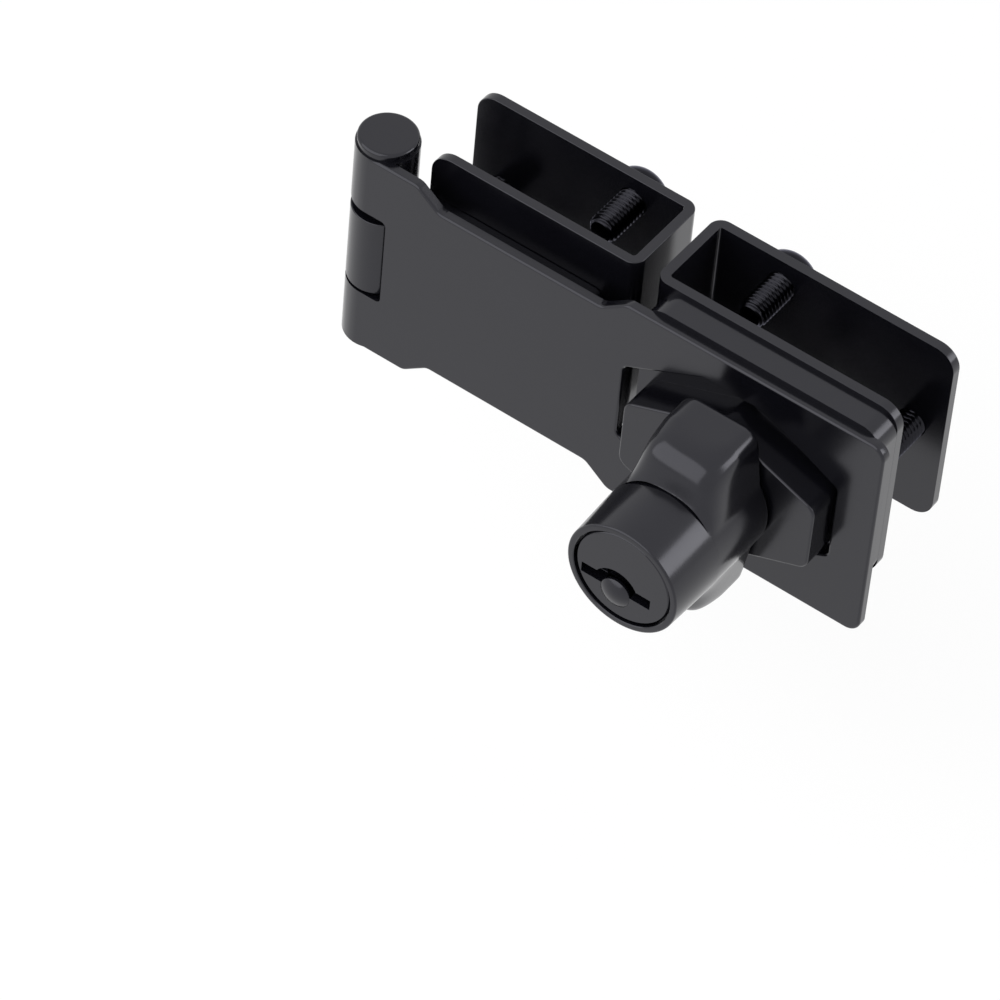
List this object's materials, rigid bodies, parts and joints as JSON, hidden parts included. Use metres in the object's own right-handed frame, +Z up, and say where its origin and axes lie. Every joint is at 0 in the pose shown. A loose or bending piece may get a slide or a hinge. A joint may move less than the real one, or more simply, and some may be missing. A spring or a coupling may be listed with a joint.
{
  "type": "cabinet lock",
  "caption": "Black hasp lock for a pair of frameless glass doors: two screw-on U clamps, a hinged hasp plate and a twist knob with a key plug.",
  "frame": {"origin": "middle of the inner face of the right clamp's front leaf, where the glass door's front rests", "axes": "+X runs from the hinge towards the lock along the hasp, +Y from the front through the glass to the back, out of the seat, and +Z up along the hinge pin"},
  "size_m": [0.0984, 0.0546, 0.0421],
  "materials": {
    "coated_zinc": "die-cast zinc alloy with a smooth black coat",
    "coated_steel": "machined steel, blackened",
    "coated_brass": "turned brass with a smooth black coat",
    "brass": "stamped, bare",
    "plated_steel": "turned or stamped, zinc plated"
  },
  "bodies": {
    "lock_side": {"right_clamp": "coated_zinc", "lock_base": "coated_zinc", "base_screws": "coated_steel", "hasp_plate": "coated_zinc", "hinge_pin": "coated_steel"},
    "hinge_side": {"left_clamp": "coated_zinc", "hinge_leaf": "coated_zinc", "leaf_screws": "coated_steel"},
    "knob": {"knob": "coated_zinc", "spindle": "plated_steel", "spindle_screws": "plated_steel", "stop_washer": "plated_steel", "retaining_screw": "plated_steel", "lock_pin_spring": "plated_steel"},
    "plug": {"lock_plug": "coated_brass", "cam_disc": "plated_steel", "cam_screw": "plated_steel", "wafer_springs": "plated_steel"},
    "lock_pin": {"lock_pin": "plated_steel"},
    "wafer_1": {"wafer_1": "brass"},
    "wafer_2": {"wafer_2": "brass"},
    "wafer_3": {"wafer_3": "brass"},
    "wafer_4": {"wafer_4": "brass"},
    "left_screw_top": {"left_screw_top": "coated_steel"},
    "left_screw_bottom": {"left_screw_bottom": "coated_steel"},
    "left_screw_side": {"left_screw_side": "coated_steel"},
    "right_screw_top": {"right_screw_top": "coated_steel"},
    "right_screw_bottom": {"right_screw_bottom": "coated_steel"},
    "right_screw_side": {"right_screw_side": "coated_steel"}
  },
  "joints": [
    {"name": "hinge", "type": "hinge", "parent": "lock_side", "child": "hinge_side", "pos_m": [-0.07068, -0.00265, -0.0041], "axis": [0, 0, 1], "range_deg": [0, 180]},
    {"name": "knob_turn", "type": "hinge", "parent": "lock_side", "child": "knob", "pos_m": [-0.00178, -0.01265, -0.0041], "axis": [0, 1, 0], "range_deg": [0, 90]},
    {"name": "plug_turn", "type": "hinge", "parent": "knob", "child": "plug", "pos_m": [-0.00178, -0.02765, -0.0041], "axis": [0, 1, 0], "range_deg": [0, 90]},
    {"name": "lock_pin_slide", "type": "slide", "parent": "knob", "child": "lock_pin", "axis": [0, 1, 0], "range_m": [0, 0.0024]},
    {"name": "wafer_1_slide", "type": "slide", "parent": "plug", "child": "wafer_1", "axis": [0, 0, 1], "range_m": [0, 0.0007]},
    {"name": "wafer_2_slide", "type": "slide", "parent": "plug", "child": "wafer_2", "axis": [0, 0, 1], "range_m": [0, 0.0007]},
    {"name": "wafer_3_slide", "type": "slide", "parent": "plug", "child": "wafer_3", "axis": [0, 0, 1], "range_m": [0, 0.0007]},
    {"name": "wafer_4_slide", "type": "slide", "parent": "plug", "child": "wafer_4", "axis": [0, 0, 1], "range_m": [0, 0.0007]},
    {"name": "left_screw_top_travel", "type": "slide", "parent": "hinge_side", "child": "left_screw_top", "axis": [0, 1, 0], "range_m": [0, 0.0075]},
    {"name": "left_screw_bottom_travel", "type": "slide", "parent": "hinge_side", "child": "left_screw_bottom", "axis": [0, 1, 0], "range_m": [0, 0.0075]},
    {"name": "left_screw_side_travel", "type": "slide", "parent": "hinge_side", "child": "left_screw_side", "axis": [0, 1, 0], "range_m": [0, 0.0075]},
    {"name": "right_screw_top_travel", "type": "slide", "parent": "lock_side", "child": "right_screw_top", "axis": [0, 1, 0], "range_m": [0, 0.0075]},
    {"name": "right_screw_bottom_travel", "type": "slide", "parent": "lock_side", "child": "right_screw_bottom", "axis": [0, 1, 0], "range_m": [0, 0.0075]},
    {"name": "right_screw_side_travel", "type": "slide", "parent": "lock_side", "child": "right_screw_side", "axis": [0, 1, 0], "range_m": [0, 0.0075]}
  ],
  "couplings": [
    {"joint": "lock_pin_slide", "follows": "plug_turn", "m_per_rad": 0.0015279}
  ]
}
